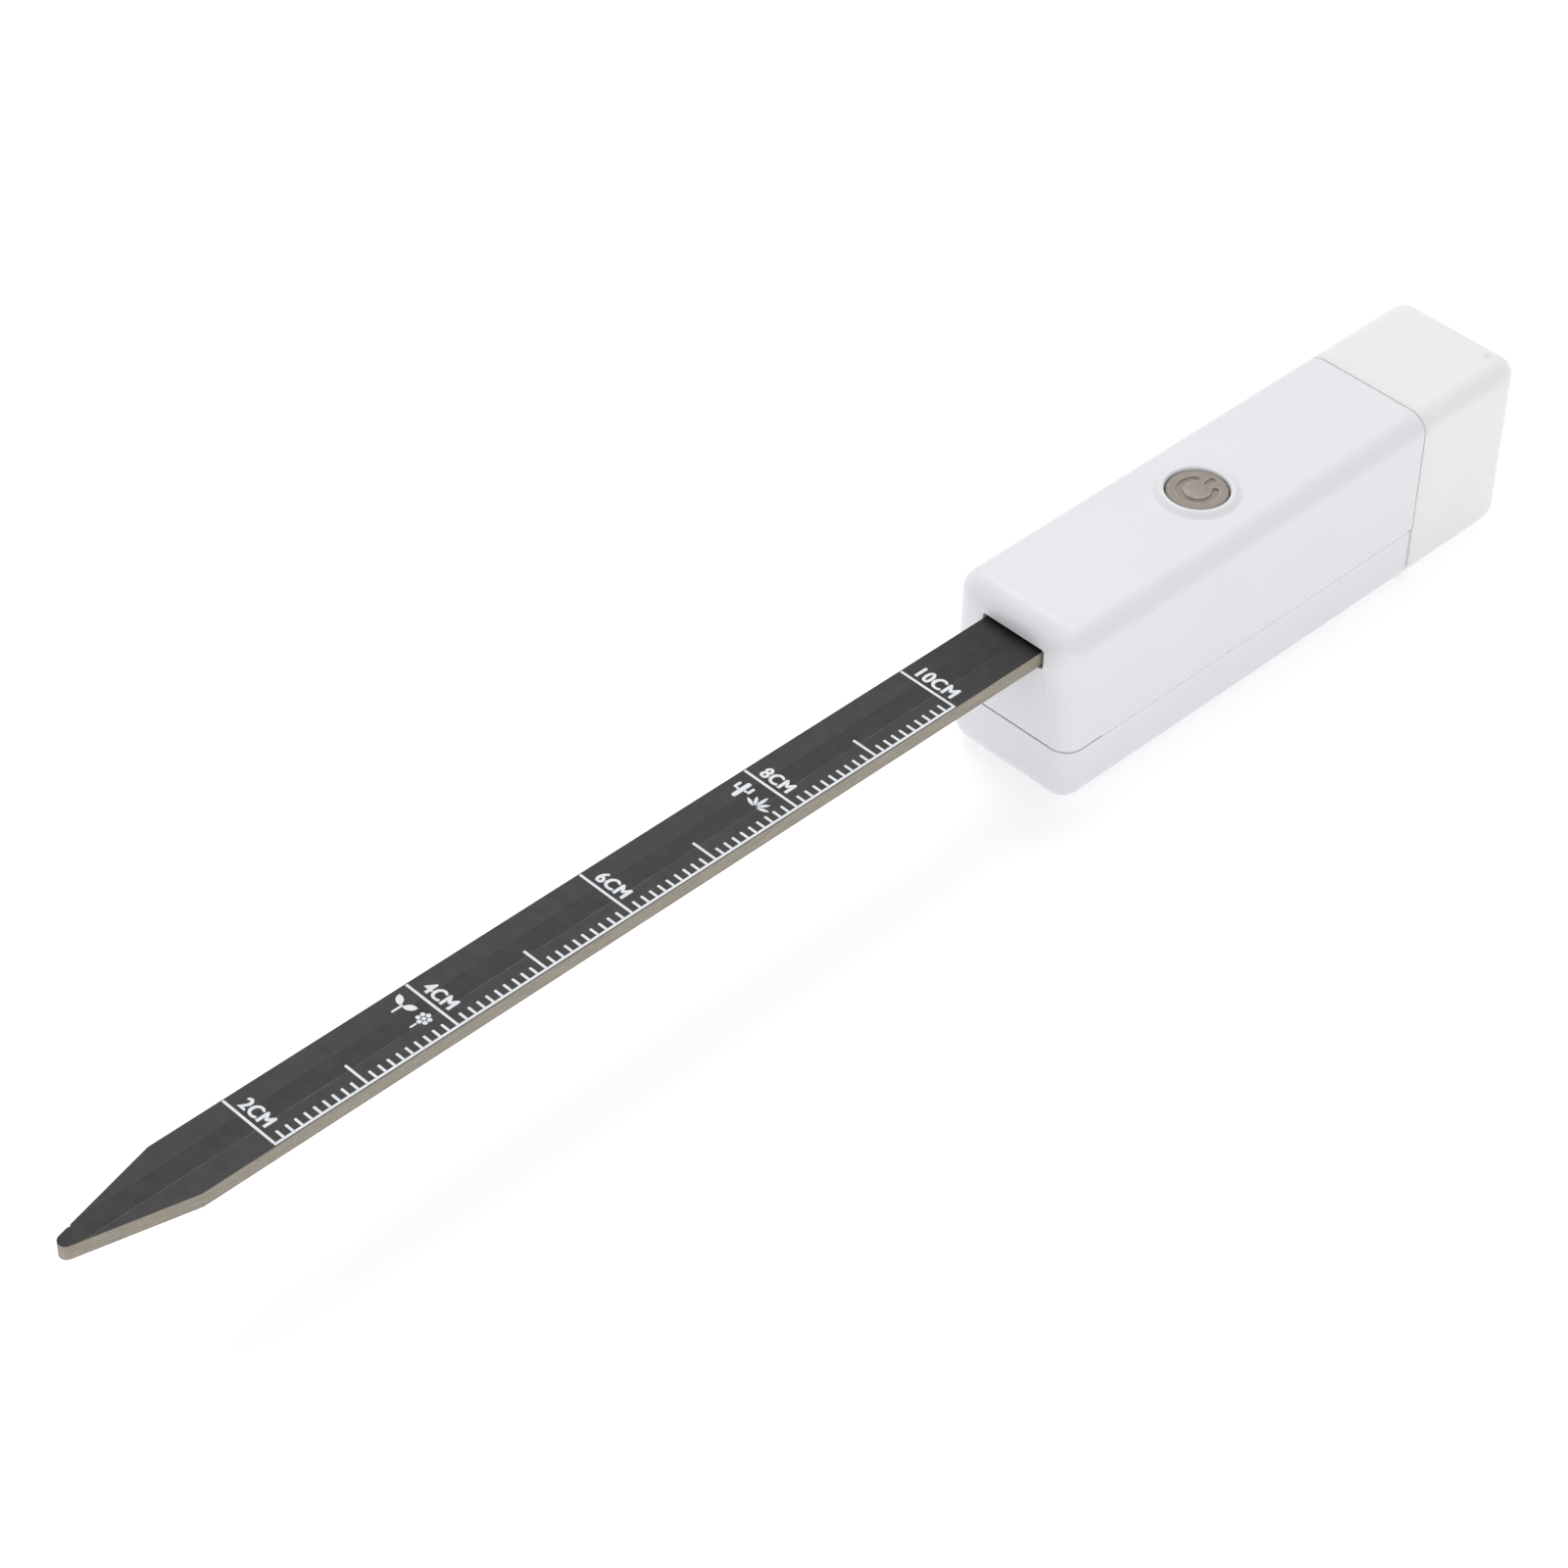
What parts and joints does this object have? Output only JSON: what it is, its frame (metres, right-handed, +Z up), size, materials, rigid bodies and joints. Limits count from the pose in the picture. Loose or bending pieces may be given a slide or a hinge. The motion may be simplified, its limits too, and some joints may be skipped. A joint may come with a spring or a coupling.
{
  "type": "soil moisture sensor",
  "caption": "Handheld soil moisture sensor: a flat pointed circuit-board probe in a square handle with a power button, a frosted light cap and a sliding battery cover.",
  "frame": {"origin": "under the middle of the whole sensor, on the flat plane it rests on", "axes": "+X from the probe's tip towards the light cap, +Y to the left, +Z up through the button"},
  "size_m": [0.1762, 0.0154, 0.0207],
  "materials": {
    "housing_white": "satin",
    "frosted_white": "matte",
    "button_taupe": "satin",
    "board_mask": "satin",
    "seal_rubber": "matte",
    "switch_black": "satin",
    "contact_metal": "satin",
    "screw_steel": "satin",
    "chip_black": "matte",
    "ferrite_grey": "matte",
    "capacitor_tan": "satin",
    "resistor_black": "satin",
    "led_red": "gloss",
    "led_green": "gloss",
    "led_blue": "gloss",
    "cradle_white": "matte",
    "cell_steel": "satin",
    "cell_fill": "matte",
    "cell_film": "gloss"
  },
  "bodies": {
    "handle": {"upper_shell": "housing_white", "diffuser_cap": "frosted_white", "probe_board": "board_mask", "slot_seal": "seal_rubber", "switch_base": "switch_black", "switch_dome": "contact_metal", "switch_cover": "contact_metal", "controller_chip": "chip_black", "boost_chip": "chip_black", "boost_inductor": "ferrite_grey", "input_capacitor": "capacitor_tan", "output_capacitor": "capacitor_tan", "sensing_capacitor": "capacitor_tan", "sensing_resistor": "resistor_black", "pull_up_resistor": "resistor_black", "led_resistor": "resistor_black", "led_dry": "led_red", "led_moist": "led_green", "led_wet": "led_blue", "board_screw_front": "screw_steel", "board_screw_rear": "screw_steel", "battery_cradle": "cradle_white", "minus_contact": "contact_metal", "minus_spring": "contact_metal", "plus_contact": "contact_metal", "cell_can": "cell_steel", "cell_core": "cell_fill", "cell_sleeve": "cell_film", "cell_plus_cap": "cell_steel"},
    "button": {"button_cap": "button_taupe", "switch_plunger": "switch_black"},
    "cover": {"battery_cover": "housing_white"}
  },
  "joints": [
    {"name": "button_press", "type": "slide", "parent": "handle", "child": "button", "axis": [0, 0, -1], "range_m": [0, 0.00025], "stiffness_N_per_m": 4000, "deforming": ["switch_dome"]},
    {"name": "battery_cover_slide", "type": "slide", "parent": "handle", "child": "cover", "axis": [-1, 0, 0], "range_m": [0, 0.052]}
  ]
}
